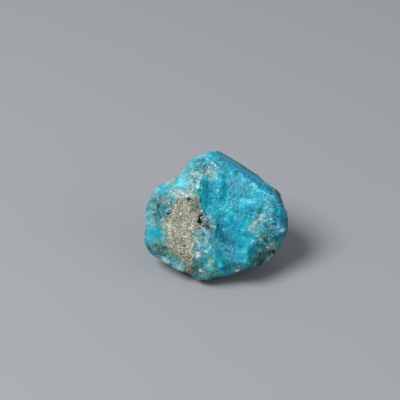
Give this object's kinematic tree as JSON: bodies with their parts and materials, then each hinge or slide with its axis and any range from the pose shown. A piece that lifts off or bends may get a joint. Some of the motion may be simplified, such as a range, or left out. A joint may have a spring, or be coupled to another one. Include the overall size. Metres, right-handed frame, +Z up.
{
  "type": "turquoise specimen",
  "caption": "Rough natural turquoise nugget with a patch of sandy matrix, one smooth bevel and broken faces, resting on a small flat spot.",
  "frame": {"origin": "on the resting plane under the middle of the stone's box", "axes": "+X along the stone's width, its longest side; -Y is where the show face leans to; +Z up"},
  "size_m": [0.0304, 0.023, 0.0238],
  "materials": {
    "turquoise": "satin"
  },
  "bodies": {
    "root": {"turquoise_nugget": "turquoise"}
  },
  "joints": []
}
